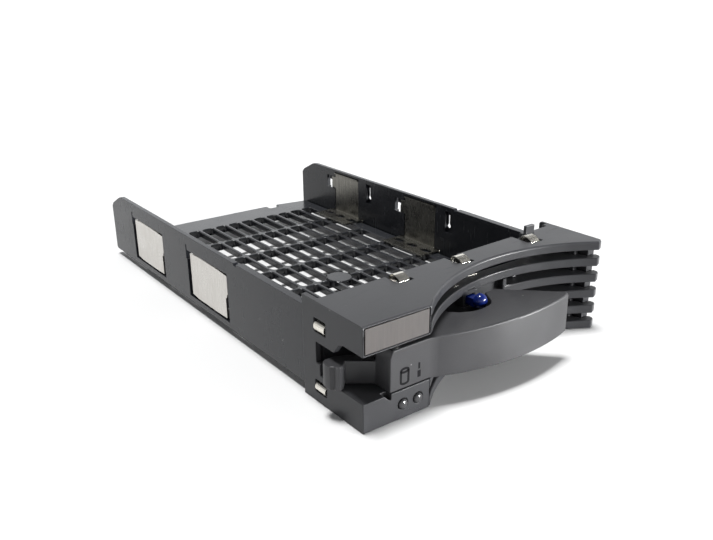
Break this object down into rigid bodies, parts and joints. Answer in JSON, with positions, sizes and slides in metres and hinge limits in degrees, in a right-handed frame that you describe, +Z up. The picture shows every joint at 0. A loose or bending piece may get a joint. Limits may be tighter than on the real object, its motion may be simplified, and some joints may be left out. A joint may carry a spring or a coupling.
{
  "type": "hot-swap hard disk drive tray",
  "caption": "Hot-swap tray for a 3.5-inch hard disk drive: slotted floor, side rails with metal drive brackets, louvred bezel, swinging lever handle with claw and a blue release button.",
  "frame": {"origin": "on the bezel's flat underside, on the tray's centre plane, 25 mm behind the bezel's front plane", "axes": "+X to the right seen from the front, +Y from the bezel towards the tray's rear end, +Z up"},
  "size_m": [0.1166, 0.203, 0.0374],
  "materials": {
    "tray_plastic": "charcoal moulded plastic, fine satin grain",
    "bezel_plastic": "charcoal moulded plastic, fine satin grain",
    "lever_plastic": "charcoal moulded plastic, satin",
    "label_face": "blank warm grey label insert",
    "button_plastic": "glossy saturated blue",
    "plated_steel": "bright plated sheet, lightly brushed",
    "spring_steel": "warm nickel-plated spring strip",
    "screw_steel": "zinc-plated screw steel",
    "lens_plastic": "smoked clear plastic"
  },
  "bodies": {
    "tray": {"tray_floor": "tray_plastic", "side_rail_left": "tray_plastic", "side_rail_right": "tray_plastic", "bezel_housing": "bezel_plastic", "louvre_grille": "bezel_plastic", "label_plate": "label_face", "emi_shield": "plated_steel", "drive_bracket_front_left": "plated_steel", "drive_bracket_front_right": "plated_steel", "drive_bracket_rear_left": "plated_steel", "drive_bracket_rear_right": "plated_steel", "shield_screw_left_lower": "screw_steel", "shield_screw_left_upper": "screw_steel", "shield_screw_right_lower": "screw_steel", "shield_screw_right_upper": "screw_steel", "bezel_screw_left": "screw_steel", "bezel_screw_middle": "screw_steel", "bezel_screw_right": "screw_steel", "top_clip_left": "spring_steel", "top_clip_middle": "spring_steel", "top_clip_right": "spring_steel", "side_contact_left_lower": "spring_steel", "side_contact_left_upper": "spring_steel", "side_contact_right_lower": "spring_steel", "side_contact_right_upper": "spring_steel", "light_pipe_activity": "lens_plastic", "light_pipe_status": "lens_plastic", "pivot_pin": "screw_steel", "catch_spring": "spring_steel"},
    "lever": {"lever_handle": "lever_plastic"},
    "button": {"release_button": "button_plastic"},
    "catch": {"latch_catch": "lever_plastic"}
  },
  "joints": [
    {"name": "lever_hinge", "type": "hinge", "parent": "tray", "child": "lever", "pos_m": [-0.041, -0.0214, 0.017], "axis": [0, 0, -1], "range_deg": [0, 85]},
    {"name": "button_press", "type": "slide", "parent": "tray", "child": "button", "axis": [0, 1, 0], "range_m": [0, 0.0025]},
    {"name": "catch_slide", "type": "slide", "parent": "tray", "child": "catch", "axis": [0, 0, -1], "range_m": [0, 0.0025], "stiffness_N_per_m": 300, "springref_m": -0.003, "deforming": ["catch_spring"]}
  ],
  "couplings": [
    {"joint": "catch_slide", "follows": "button_press", "ratio": 1}
  ]
}
